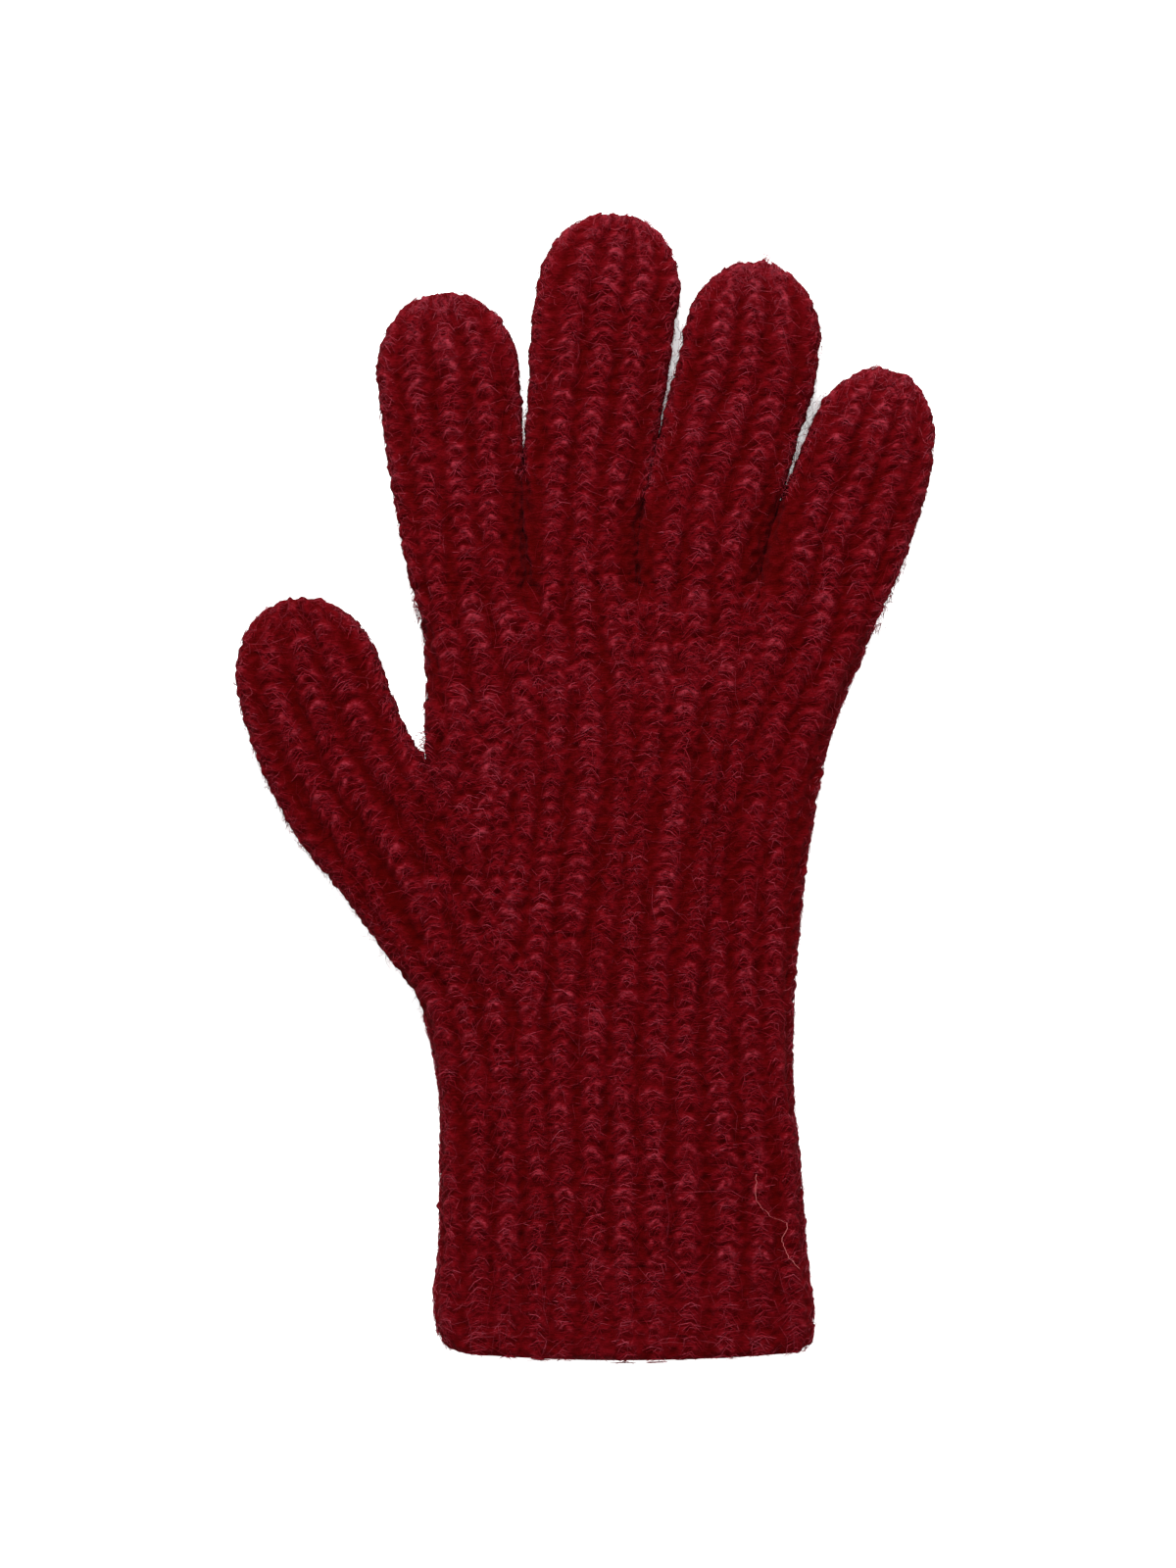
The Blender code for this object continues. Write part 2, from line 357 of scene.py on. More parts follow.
def on_tube(tube, distance, share, depth):
    """Places on a tube, at distances along it, shares of the way round it and a depth in it."""
    distance = np.asarray(distance, float)
    marks, line = tube["marks"], tube["points"]
    centre = smooth(distance, marks, line)
    inside = np.minimum(distance, tube["end"] - PROBE * 1.2)
    ahead = unit(smooth(inside + PROBE, marks, line) - smooth(inside - PROBE, marks, line))
    width = smooth(distance, marks, tube["widths"])
    start = tube["end"] - DOME_LENGTH
    side_depth = edge_depth(depth)
    sine = np.clip((distance - start) / (DOME_LENGTH - side_depth), 0, ALMOST_CLOSED)
    cosine = np.sqrt(1 - sine**2)
    half_width = (width / 2 - side_depth) * cosine
    half_height = np.minimum((HALF - depth) * np.sqrt(cosine), half_width)
    across, up = stadium(half_width, half_height, share)
    x = centre[:, 0] + ahead[:, 1] * across
    y = centre[:, 1] - ahead[:, 0] * across
    return np.stack([x, y, HALF + up], axis=1)


def reached(tube, y):
    """How far along a finger it reaches these distances up from the hem."""
    return np.interp(y, tube["points"][:, 1], tube["marks"])


def tube_normals(tube, distance, share, depth):
    step, turn, short_of_end = 0.3, 0.004, 0.8
    distance = np.clip(distance, tube["marks"][0], tube["end"] - edge_depth(depth) - short_of_end)
    share = np.broadcast_to(share, distance.shape)
    here = on_tube(tube, distance, share, depth)
    along = on_tube(tube, distance + step, share, depth) - here
    round_it = on_tube(tube, distance, share + turn, depth) - here
    return unit(np.cross(round_it, along))


def edge_depth(depth):
    """How deep a skin lies at the glove's edges, where the wool's ribs are pressed flat."""
    return EDGE_DEPTH + (depth - SKIN_DEPTH)


def palm_section(y, depth):
    heights, *sides = np.array(PALM_EDGES).T
    edges = smooth(y, heights, np.stack(sides, axis=1))
    middle = edges.mean(axis=1)
    half_width = (edges[:, 1] - edges[:, 0]) / 2 - edge_depth(depth)
    half_height = np.full_like(half_width, HALF - depth)
    rounding = np.sqrt(np.clip(1 - ((MOUTH_ROUNDING - y) / MOUTH_ROUNDING) ** 2, 0, 1))
    at_mouth = half_height * (MOUTH_LIP + (1 - MOUTH_LIP) * rounding)
    return middle, half_width, np.where(y < MOUTH_ROUNDING, at_mouth, half_height)


def bow(x, y):
    """How far up the hem curves towards its two corners, at these places by it."""
    corner = np.clip(1 - y / HEM_BOW_END, 0, 1) ** 2
    return HEM_BOW * ((x - HEM_MIDDLE) / HEM_HALF_WIDTH) ** 2 * corner


def palm_front(y, x, depth):
    """Places on the front of the cuff and palm, and their outward directions."""
    middle, half_width, half_height = palm_section(y, depth)
    flat = half_width - half_height
    almost_side = 0.95
    away = np.clip(np.abs(x - middle) - flat, 0, half_height * almost_side)
    angle = np.arcsin(away / half_height)
    side = np.sign(x - middle)
    place_x = np.where(away > 0, middle + side * (flat + away), x)
    points = np.stack([place_x, y, HALF + half_height * np.cos(angle)], axis=1)
    normals = np.stack([side * np.sin(angle), np.zeros_like(y), np.cos(angle)], axis=1)
    return points, normals


def palm_side(y, side, depth):
    """The rib down the palm's thumb side or little finger side, halfway through its thickness."""
    middle, half_width, _ = palm_section(y, depth)
    level = np.full_like(y, HALF)
    points = np.stack([middle + side * half_width, y, level], axis=1)
    normals = np.tile((float(side), 0.0, 0.0), (len(y), 1))
    return points, normals


# ---- rib lines


def rib_x(rib, y):
    """How far across a palm rib lies at these distances up from the hem."""
    if rib < 3:
        start, place = FOLD_RIBS[rib]
        return smooth(y, (start, PALM_RIBS_Y, ROOT_Y), (place, PALM_RIBS[rib], ROOT_RIBS[rib]))
    marks = (0, CUFF_RIBS_Y, WRIST_RIBS_Y, PALM_RIBS_Y, ROOT_Y)
    hem = CUFF_RIBS[rib] * HEM_SPREAD
    return smooth(y, marks, (hem, CUFF_RIBS[rib], WRIST_RIBS[rib], PALM_RIBS[rib], ROOT_RIBS[rib]))


def cuff_rib_x(rib, y):
    """The same for a rib that runs on from the cuff into the thumb."""
    marks = (0, CUFF_RIBS_Y, WRIST_RIBS_Y)
    return smooth(y, marks, (CUFF_RIBS[rib] * THUMB_HEM_SPREAD, CUFF_RIBS[rib], WRIST_RIBS[rib]))


def joined(*stretches):
    """One line of places and directions, through stretches that are given one after another."""
    points = np.concatenate([stretch[0] for stretch in stretches])
    normals = np.concatenate([stretch[1] for stretch in stretches])
    return points, normals


def tube_stretch(tube, start, share):
    """A rib line along a tube, from a distance along it to just short of its end."""
    distance = np.arange(start, tube["end"] - EDGE_DEPTH - END_GAP, TUBE_STEP)
    shares = np.full_like(distance, share)
    points = on_tube(tube, distance, shares, SKIN_DEPTH)
    return points, tube_normals(tube, distance, shares, SKIN_DEPTH)


def palm_lines(tubes):
    """The ribs of the palm's front, which run on into the fingers."""
    lines = []
    names = list(FINGERS)
    for rib in range(12):
        start = FOLD_RIBS[rib][0] if rib < 3 else FIRST_STITCH_Y
        y = np.arange(start, ROOT_Y - 2.0, PALM_STEP)
        palm = palm_front(y, rib_x(rib, y), SKIN_DEPTH)
        tube = tubes[names[rib // 3]]
        share = (rib % 3 - 1) / RIBS_ROUND_FINGER
        lines.append(joined(palm, tube_stretch(tube, PAST_KNUCKLE, share)))
    return lines


def fork_lines(tubes):
    """The ribs on the fingers' sides. They start in the forks, or where the glove's edge ribs end."""
    lines = []
    fork, past_edge_rib = -11.0, 2.5
    for name in FINGERS:
        tube = tubes[name]
        edge_end = reached(tube, EDGE_RIB_END)
        for side in (-1, 1):
            outer = (name, side) in (("index", -1), ("little", 1))
            start = edge_end + past_edge_rib if outer else fork
            lines.append(tube_stretch(tube, start, side * 2 / RIBS_ROUND_FINGER))
    return lines


def edge_lines():
    """The ribs down the glove's two edges, which the front and the back share."""
    y = np.arange(FIRST_STITCH_Y, EDGE_RIB_END, PALM_STEP)
    right = palm_side(y, 1, SKIN_DEPTH)
    thumb_start, thumb_end = WRIST_END, 140.0
    above_thumb = palm_side(y[y > thumb_end], -1, SKIN_DEPTH)
    below_thumb = palm_side(y[y < thumb_start], -1, SKIN_DEPTH)
    return [right, above_thumb, below_thumb]


def filling_stitches(middles, aheads, outs, ribs):
    """Uneven stitches, on both sides, that fill the gaps by the thumb's fold and under the forks."""
    added, leans = [], []
    step, scatter, lean_scatter = 1.3, 0.4, 0.35
    for heights, across, lean in FILLED:
        for y in np.arange(*heights, step):
            for x in np.arange(*across, step):
                place = np.array([x, y, THICKNESS - SKIN_DEPTH])
                place[:2] += random.normal(0, scatter, 2)
                others = np.concatenate([middles, added]) if added else middles
                if np.linalg.norm(others - place, axis=1).min() > FILLING_GAP:
                    added.append(place)
                    leans.append(lean)
    count = len(added)
    turn = np.array(leans) + random.normal(0, lean_scatter, count)
    ahead = np.stack([-np.sin(turn), np.cos(turn), np.zeros(count)], axis=1)
    out = np.tile((0.0, 0.0, 1.0), (count, 1))
    back = mirrored(np.array(added), out)
    middles = np.concatenate([middles, added, back[0]])
    aheads = np.concatenate([aheads, ahead, ahead])
    outs = np.concatenate([outs, out, back[1]])
    return middles, aheads, outs, np.concatenate([ribs, np.full(2 * count, ribs.max() + 1)])


def thumb_lines(tube):
    """The ribs of the thumb, three of which run up from the cuff."""
    lines = []
    y = np.arange(FIRST_STITCH_Y, WRIST_RIBS_Y - 6.0, PALM_STEP)
    for rib, places in THUMB_RIBS.items():
        flat = np.array([(x, up, THICKNESS - SKIN_DEPTH) for x, up in places])
        facing = np.tile((0.0, 0.0, 1.0), (len(flat), 1))
        top = tube_stretch(tube, 2.0, rib / RIBS_ROUND_FINGER)
        if rib == 2:
            lines.append(joined((flat, facing), top))
            lines.append(tube_stretch(tube, THUMB_EDGE_START, -2 / RIBS_ROUND_FINGER))
        else:
            cuff = palm_front(y, cuff_rib_x(rib + 1, y), SKIN_DEPTH)
            lines.append(joined(cuff, (flat, facing), top))
    return lines


def evenly(points, normals, gap):
    """The same line with its places an even distance apart."""
    steps = np.linalg.norm(np.diff(points, axis=0), axis=1)
    marks = np.concatenate([[0], np.cumsum(np.maximum(steps, 1e-3))])
    count = max(int(marks[-1] / gap), 2)
    at = np.linspace(0, marks[-1], count + 1)
    return smooth(at, marks, points), unit(smooth(at, marks, normals))


def mirrored(points, normals):
    flip = np.array([1.0, 1.0, -1.0])
    return np.array([0.0, 0.0, THICKNESS]) + points * flip, normals * flip


def stitches_along(lines):
    """Every stitch: its middle, its direction along the rib, its outward direction and its rib."""
    middles, aheads, outs, ribs = [], [], [], []
    for index, (points, normals) in enumerate(lines):
        points, normals = evenly(points, normals, ROW_HEIGHT)
        ahead = unit(np.gradient(points, axis=0))
        out = unit(normals - ahead * (normals * ahead).sum(axis=1, keepdims=True))
        middles.append(points + ahead * random.uniform(-SLIP, SLIP))
        aheads.append(ahead)
        outs.append(out)
        ribs.append(np.full(len(points), index))
    return [np.concatenate(part) for part in (middles, aheads, outs, ribs)]


def nearest_other_rib(middles, ribs):
    gaps = np.linalg.norm(middles[:, None] - middles, axis=-1)
    gaps[ribs[:, None] == ribs] = np.inf
    return gaps.min(axis=1)


# ---- meshes


def grid_faces(rings, sides, joined_ends=False):
    """Triangles between each ring and the next one, and from the last to the first if joined."""
    gaps = rings if joined_ends else rings - 1
    ring, side = np.meshgrid(np.arange(gaps), np.arange(sides), indexing="ij")
    after = (side + 1) % sides
    beyond = (ring + 1) % rings
    a, b = ring * sides + side, ring * sides + after
    c, d = beyond * sides + side, beyond * sides + after
    faces = np.stack([np.stack([a, b, d], axis=-1), np.stack([a, d, c], axis=-1)], axis=2)
    return faces.reshape(-1, 3)


def closed_tube_faces(rings, sides):
    """Triangles of a tube of rings with a point at each end, the two points numbered last."""
    side = np.arange(sides)
    after = (side + 1) % sides
    tip = np.full(sides, rings * sides)
    last = (rings - 1) * sides
    ends = np.stack([tip, after, side, tip + 1, last + side, last + after], axis=1)
    return np.concatenate([grid_faces(rings, sides), ends.reshape(-1, 3)])


def spindles(spine, radius_side, radius_up, side_way, up_way, sides):
    """Many closed tapered tubes at once. spine is (count, rings, 3), the radii (count, rings)."""
    count, rings, _ = spine.shape
    angle = np.arange(sides) / sides * 2 * math.pi
    ring = (
        spine[:, :, None, :]
        + side_way[:, None, None, :] * (radius_side[:, :, None] * np.cos(angle))[..., None]
        + up_way[:, None, None, :] * (radius_up[:, :, None] * np.sin(angle))[..., None]
    )
    past_ring = 0.35
    first = spine[:, :1] - (spine[:, 1:2] - spine[:, :1]) * past_ring
    last = spine[:, -1:] + (spine[:, -1:] - spine[:, -2:-1]) * past_ring
    points = np.concatenate([ring.reshape(count, rings * sides, 3), first, last], axis=1)
    template = closed_tube_faces(rings, sides)
    size = rings * sides + 2
    faces = template[None] + (np.arange(count) * size)[:, None, None]
    return points, faces.reshape(-1, 3), size


def mesh_object(name, points, faces, material, shade, soft=None):
    """A mesh piece from triangles, its points given in millimetres from the hem. Those that aren't
    soft are flat ends, which don't change how its other faces are shaded."""
    mesh = bpy.data.meshes.new(name)
    points = to_row(points.reshape(-1, 3))
    mesh.vertices.add(len(points))
    mesh.vertices.foreach_set("co", points.astype(np.float32).ravel())
    mesh.loops.add(len(faces) * 3)
    mesh.loops.foreach_set("vertex_index", faces.astype(np.int32).ravel())
    mesh.polygons.add(len(faces))
    mesh.polygons.foreach_set("loop_start", np.arange(0, len(faces) * 3, 3, dtype=np.int32))
    mesh.update(calc_edges=True)
    mesh.polygons.foreach_set("use_smooth", np.ones(len(faces), bool) if soft is None else soft)
    attribute = mesh.attributes.new("shade", "FLOAT", "POINT")
    attribute.data.foreach_set("value", shade.ravel().astype(np.float32))
    mesh.materials.append(material)
    piece = bpy.data.objects.new(name, mesh)
    bpy.context.scene.collection.objects.link(piece)
    return piece


def rib_profile(across):
    """How high a rib stands over the valley, from 0 to 1, this far from its middle line."""
    blunt = 0.75
    return np.cos(np.clip(across / RIB_HALF_WIDTH, -1, 1) * math.pi / 2) ** blunt


def raised(points, normals, stitch, tree):
    """How far the stitches raise the skin at these places, as a share of the ribs' height, and the
    shade that they give it: painted shade that darkens lower places, a painted highlight on the upper
    edge of each stitch's cap, and each stitch's paleness."""
    near = np.empty((len(points), NEIGHBOURS), int)
    for index, point in enumerate(points):
        near[index] = [found[1] for found in tree.find_n(point, NEIGHBOURS)]
    offset = points[:, None] - stitch["middle"][near]
    right = np.cross(stitch["ahead"], stitch["out"])
    along = (offset * stitch["ahead"][near]).sum(axis=-1) / stitch["tall"][near]
    across = (offset * right[near]).sum(axis=-1) / stitch["wide"][near]
    facing = np.clip((normals[:, None] * stitch["out"][near]).sum(axis=-1), 0, 1)
    profile = rib_profile(across)
    arch = along + CAP_SAG * (np.abs(across) / CAP_SAG_AT) ** CAP_SAG_CURVE
    arch = arch + stitch["skew"][near] * across
    cap = np.interp(arch, CAP_PLACES, CAP_HEIGHTS)
    crease = 1 - CREASE_DEPTH * np.exp(-((across / CREASE_WIDTH) ** 2))
    height = stitch["high"][near] * cap * profile * crease * np.sqrt(facing)
    edge = np.exp(-(((arch - CAP_EDGE) / CAP_EDGE_WIDTH) ** 2))
    edge = edge * profile * facing * stitch["high"][near]
    height = (height**MERGE).sum(axis=-1) ** (1 / MERGE)
    # Painted shade: lower places are darker, and a painted highlight makes each cap's upper edge
    # paler.
    shade = height * HEIGHT_SHADE + edge.max(axis=-1) * CAP_HIGHLIGHT
    return height, shade + stitch["pale"][near].mean(axis=-1)


def felt(points):
    """The uneven surface of felted wool: small waves in many directions, from about -1 to 1."""
    waves = np.random.default_rng(5)
    total = np.zeros(len(points))
    for _ in range(FELT_WAVES):
        length = waves.uniform(*FELT_WAVE_LENGTHS)
        way = unit(waves.normal(size=3)) * 2 * math.pi / length
        total += np.sin(points @ way + waves.uniform(0, 2 * math.pi)) * length
    usual_peak = 16.0
    return total / usual_peak


def grid_normals(grid):
    """Outward directions of a grid of rings, from its neighbouring places."""
    along = np.gradient(grid, axis=0)
    round_it = np.roll(grid, -1, axis=1) - np.roll(grid, 1, axis=1)
    return unit(np.cross(round_it, along))


def felted(grid, stitch, tree):
    """A grid of rings raised into ribs, and the shade of each of its places, with painted shade in
    its valleys and hollows.
    """
    normals = grid_normals(grid).reshape(-1, 3)
    points = grid.reshape(-1, 3)
    height, shade = raised(points, normals, stitch, tree)
    rough = felt(points)
    moved = points + normals * (height * RIB_HEIGHT + rough * FELT_HEIGHT)[:, None]
    moved[:, 2] = np.maximum(moved[:, 2], LOWEST)
    # Painted shade: the felt's hollows are darker and its raised places paler.
    shade = shade + rough * FELT_SHADE
    return moved.reshape(grid.shape), shade.reshape(grid.shape[:2])


def strands(stitch, picked):
    """The yarn's own fibres, which arch over each stitch's cap from side to side."""
    count = len(picked)
    spread = random.normal(0, 0.7, count)
    return {
        "across": random.normal(0, 0.7, count),
        "along": random.uniform(-2.2, 1.3, count),
        "turn": random.normal(0, 0.45, count),
        "length": random.uniform(2.2, 5.0, count) * stitch["wide"][picked],
        "curl": -random.uniform(0.5, 1.3, count) + spread * 0.2,
        "lift": random.uniform(-0.25, 0.35, count),
        "above": random.uniform(-0.02, 0.22, count),
        "thick": random.uniform(0.06, 0.13, count),
    }


def hairs(stitch, picked):
    """Short loose hairs that lie along the surface every way, some with a raised end."""
    count = len(picked)
    facing = np.abs(stitch["out"][picked][:, 2])
    return {
        "across": random.normal(0, 2.3, count),
        "along": random.normal(0, 1.5, count),
        "turn": random.uniform(-math.pi, math.pi, count),
        "length": random.gamma(4.0, 0.95, count).clip(1.5, 8.0) * (0.4 + 0.6 * facing),
        "curl": random.normal(0, 0.9, count),
        "lift": random.gamma(1.5, 0.35, count).clip(0.05, 2.0) * (0.3 + 0.7 * facing),
        "above": random.uniform(0.0, 0.5, count),
        "thick": random.uniform(0.035, 0.06, count),
    }


def pile_counts(stitch):
    """How much pile stands on each stitch: most at the glove's sides, and half that at its tips."""
    beside = 1 - np.abs(stitch["out"][:, 2])
    tip = progress(stitch["pale"], PALER_HEM, TIP_PAINTED_LIGHT)
    return np.round(PILE_PER_EDGE_STITCH * np.maximum(beside, tip * 0.5)).astype(int)


def pile(stitch, picked):
    """The fine short fibres that stand up all round the glove's edges and over its fingertips."""
    count = len(picked)
    return {
        "across": random.normal(0, 1.6, count),
        "along": random.uniform(-2.2, 2.2, count),
        "turn": random.uniform(-math.pi, math.pi, count),
        "length": random.uniform(0.9, 2.4, count),
        "curl": random.normal(0, 0.3, count),
        "lift": random.uniform(0.2, 1.2, count),
        "above": random.uniform(-0.1, 0.2, count),
        "thick": random.uniform(0.025, 0.045, count),
    }


def fibre_mesh(stitch, picked, fibre):
    """Closed tapered tubes for fibres that are placed from the stitches they start on."""
    out = stitch["out"][picked]
    ahead = stitch["ahead"][picked]
    right = np.cross(ahead, out)
    way = right * np.cos(fibre["turn"])[:, None] + ahead * np.sin(fibre["turn"])[:, None]
    other = np.cross(out, way)
    fibre = {key: values[:, None] for key, values in fibre.items()}
    edge_share, taper = 0.3, np.array([0.8, 1.0, 0.7])
    at = np.linspace(-0.5, 0.5, 3)
    reach = at * fibre["length"]
    bend = fibre["curl"] * (1 - (2 * at) ** 2)
    sideways = fibre["across"] + reach * np.cos(fibre["turn"])
    profile = rib_profile(sideways / stitch["wide"][picked][:, None])
    height = RIB_HEIGHT * CAP_SHARE * profile * stitch["high"][picked][:, None] + fibre["above"]
    height = height + fibre["lift"] * (0.5 + at)
    beside = (1 - out[:, 2] ** 2)[:, None]
    height = height * (1 - edge_share * beside) - beside * sideways**2 / THICKNESS
    start = stitch["middle"][picked] + right * fibre["across"] + ahead * fibre["along"]
    spine = (
        start[:, None]
        + way[:, None] * reach[..., None]
        - other[:, None] * bend[..., None]
        + out[:, None] * height[..., None]
    )
    spine[..., 2] = np.maximum(spine[..., 2], LOWEST_FIBRE)
    hem = bow(spine[..., 0], 0.0) + random.uniform(0.1, 0.9, len(spine))[:, None]
    spine[..., 1] = np.maximum(spine[..., 1], hem)
    radius = fibre["thick"] * taper
    points, faces, size = spindles(spine, radius, radius, other, out, 3)
    return points.reshape(-1, 3), faces, size


def add_fibres(kind, section, stitch, counts, material):
    """One piece that holds every fibre of one kind on a section, each a shade of its own."""
    picked = np.repeat(np.arange(len(stitch["middle"])), counts)
    points, faces, size = fibre_mesh(stitch, picked, kind(stitch, picked))
    # Each fibre's shade is random, plus half its stitch's paleness, which is painted light at the
    # tips and sides.
    shade = np.repeat(random.uniform(0, 1, len(picked)) + stitch["pale"][picked] / 2, size)
    name = f"{section}_{kind.__name__}"
    place_piece(mesh_object(name, points, faces, material, shade), section)


# ---- materials


def new_material(name):
    """A new material's node tree and its shader."""
    material = bpy.data.materials.new(name)
    material.use_nodes = True
    return material, material.node_tree, material.node_tree.nodes["Principled BSDF"]


def put(value, socket):
    """Puts a value or another node's output into a node's input."""
    if isinstance(value, bpy.types.NodeSocket):
        socket.id_data.links.new(value, socket)
    else:
        socket.default_value = value


def fill(node, **inputs):
    """Fills a node's inputs by name. An underscore stands for a space."""
    for name, value in inputs.items():
        put(value, node.inputs[name.replace("_", " ")])
    return node


def noise(tree, place, scale, detail=3.0, roughness=0.6):
    node = tree.nodes.new("ShaderNodeTexNoise")
    fill(node, Vector=place, Scale=scale, Detail=detail, Roughness=roughness)
    return node.outputs["Fac"]


def ramp(tree, value, stops):
    node = tree.nodes.new("ShaderNodeValToRGB")
    elements = node.color_ramp.elements
    while len(elements) < len(stops):
        elements.new(0.5)
    for element, (place, colour) in zip(elements, stops):
        element.position = place
        element.color = (*colour, 1.0)
    return fill(node, Fac=value).outputs["Color"]


def streaks(tree, place, turn):
    """Short fine lines that run one way, like the fibres of the yarn."""
    mapping = tree.nodes.new("ShaderNodeMapping")
    tilt, squeeze = (0.3, 0.2, turn), (520.0, 2600.0, 1500.0)
    fill(mapping, Vector=place, Rotation=tilt, Scale=squeeze)
    return noise(tree, mapping.outputs["Vector"], 1.0, 2.0, 0.7)


def arithmetic(tree, operation, first, second):
    node = tree.nodes.new("ShaderNodeMath")
    node.operation = operation
    put(first, node.inputs[0])
    put(second, node.inputs[1])
    return node.outputs["Value"]


def wool(name, colours, sheen, bump_mm):
    """Felted wool: darker in the valleys (painted shade) and paler where its shade attribute paints
    light, patchy dye, hair-fine streaks and a soft sheen.
    """
    material, tree, shader = new_material(name)
    place = tree.nodes.new("ShaderNodeTexCoord").outputs["Object"]
    patch_scale, fine_scale, crossing = 180.0, 2600.0, 0.7
    darkest, usual, palest = 0.16, 0.60, 0.98
    patches = noise(tree, place, patch_scale)
    both_ways = [streaks(tree, place, turn) for turn in (crossing, -crossing)]
    lines = arithmetic(tree, "MAXIMUM", *both_ways)
    fine = noise(tree, place, fine_scale, 2.0, 0.8)
    # The shade attribute carries painted shade and painted light into the colour.
    shade = tree.nodes.new("ShaderNodeAttribute")
    shade.attribute_name = "shade"
    level = -0.80
    weights = ((shade.outputs["Fac"], 0.55), (patches, 0.35), (lines, 1.10), (fine, 0.45))
    for value, weight in weights:
        level = arithmetic(tree, "ADD", arithmetic(tree, "MULTIPLY", value, weight), level)
    height = arithmetic(tree, "ADD", lines, arithmetic(tree, "MULTIPLY", fine, 0.5))
    bump = tree.nodes.new("ShaderNodeBump")
    fill(bump, Height=height, Strength=0.9, Distance=bump_mm * METRES)
    fill(
        shader,
        Base_Color=ramp(tree, level, tuple(zip((darkest, usual, palest), colours))),
        Roughness=0.95,
        Specular_IOR_Level=0.01,
        Sheen_Weight=sheen,
        Sheen_Roughness=0.5,
        Sheen_Tint=(1.0, 0.12, 0.18, 1.0),
        Normal=bump.outputs["Normal"],
    )
    return material


def floor_material():
    """Pale paper that gives off a little light, so that it stays near white."""
    material, tree, shader = new_material("floor_paper")
    grain = noise(tree, tree.nodes.new("ShaderNodeTexCoord").outputs["Object"], 900.0)
    paper = ramp(tree, grain, ((0.3, (0.86, 0.86, 0.86)), (0.7, (0.88, 0.88, 0.88))))
    glow = {"Emission_Color": (1.0, 1.0, 1.0, 1.0), "Emission_Strength": 0.35}
    fill(shader, Base_Color=paper, Roughness=0.9, **glow)
    return material


# ---- pieces of the glove


def sections():
    """Each section: its slot, the nodes that it stands for and the bodies it moves with."""
    found = {
        "hem": ("hem_rib", ("cuff_hem",), ("cuff",)),
        "cuff": ("cuff_rib", ("cuff",), ("cuff",)),
        "wrist": ("palm_rib", (), ("cuff", "hand")),
        "hand": ("palm_rib", ("hand", "thumb_gusset"), ("hand",)),
        "thumb_knuckle": ("finger_rib", ("thumb_base",), ("hand", "thumb_base")),
        "thumb_tip": ("finger_rib", ("thumb_tip", "thumb_tip_loops"), ("thumb_base", "thumb_tip")),
    }
    for name in FINGERS:
        root, base, middle, tip = [f"{name}_{part}" for part in ("root", "base", "middle", "tip")]
        found[name + "_knuckle"] = ("finger_rib", (root, base), ("hand", base))
        found[middle] = ("finger_rib", (middle,), (base, middle))
        found[tip] = ("finger_rib", (tip, tip + "_loops"), (middle, tip))
    return found


def bend(section, reach):
    """Where a section's bend starts and ends, across and up from the hem."""
    place = joint_place(section + "_bend")
    axis = joint(section + "_bend")["axis"]
    ahead = np.array([-axis[1], abs(axis[0])])
    return place - ahead * reach[0], place + ahead * reach[1]


def bends():
    reaches = {"wrist": WRIST_REACH}
    reaches.update(zip(("thumb_knuckle", "thumb_tip"), THUMB_REACH))
    for name, values in BEND_REACH.items():
        reaches.update(zip((name + "_knuckle", name + "_middle", name + "_tip"), values))
    return {section: bend(section, reach) for section, reach in reaches.items()}


SECTIONS = sections()
BENDS = bends()


def between(first, second):
    """Where two neighbouring pieces meet: midway from one bend's end to the next one's start."""
    return (BENDS[first][1] + BENDS[second][0]) / 2


def limits(name):
    """Where each piece of one finger starts, up from the hem."""
    start = BENDS[name + "_knuckle"][0][1] - BEFORE_BEND
    second = between(name + "_knuckle", name + "_middle")[1]
    third = between(name + "_middle", name + "_tip")[1]
    return start, second, third


def piece_of(points, owner):
    """The name of the piece that each place belongs to. owner says which tube it's on."""
    names = np.full(len(points), "hand", dtype=object)
    y = points[:, 1]
    palm = np.isin(owner, ("palm", "thumb", *FINGERS))
    names[palm & (y < WRIST_END)] = "wrist"
    names[palm & (y < CUFF_END)] = "cuff"
    names[palm & (y < HEM_END)] = "hem"
    for name in FINGERS:
        start, second, third = limits(name)
        mine = owner == name
        names[mine & (y >= start)] = name + "_knuckle"
        names[mine & (y >= second)] = name + "_middle"
        names[mine & (y >= third)] = name + "_tip"
    mine = (owner == "thumb") & (y > THUMB_START_Y)
    start, end = BENDS["thumb_knuckle"]
    ahead = unit(end - start)
    meeting = between("thumb_knuckle", "thumb_tip")
    names[mine & ((points[:, :2] - start) @ ahead > -BEFORE_BEND)] = "thumb_knuckle"
    names[mine & ((points[:, :2] - meeting) @ ahead > 0)] = "thumb_tip"
    return names


def place_piece(piece, section, standing_for=False):
    """Parents a piece to its section's body if it has just one, else applies its transform, and hides
    the CAD parts that it stands for.
    """
    slot, nodes, bodies = SECTIONS[section]
    if standing_for:
        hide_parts(*nodes)
    if len(bodies) == 1:
        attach(piece, bodies[0])
        return
    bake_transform(piece)


# ---- skins


def around_shares(count):
    return (np.arange(count) + 0.5) / count - 0.5


def rows(*cuts):
    """Distances a grain apart that include each of the cuts."""
    parts = []
    for low, high in zip(cuts, cuts[1:]):
        parts.append(np.linspace(low, high, max(round((high - low) / GRAIN), 1), endpoint=False))
    return np.concatenate([*parts, [cuts[-1]]])


def end_faces(ring, sides, turned):
    """A flat end over a ring: strips between its front and the place behind each on its back."""
    step = np.arange(sides // 2 - 1)
    front, behind = sides // 4 + step, (sides // 4 - 1 - step) % sides
    front_next, behind_next = front + 1, (sides // 4 - 2 - step) % sides
    halves = [(front, front_next, behind_next), (front, behind_next, behind)]
    faces = np.concatenate([np.stack(corners, axis=1) for corners in halves])
    return (faces[:, ::-1] if turned else faces) + ring * sides


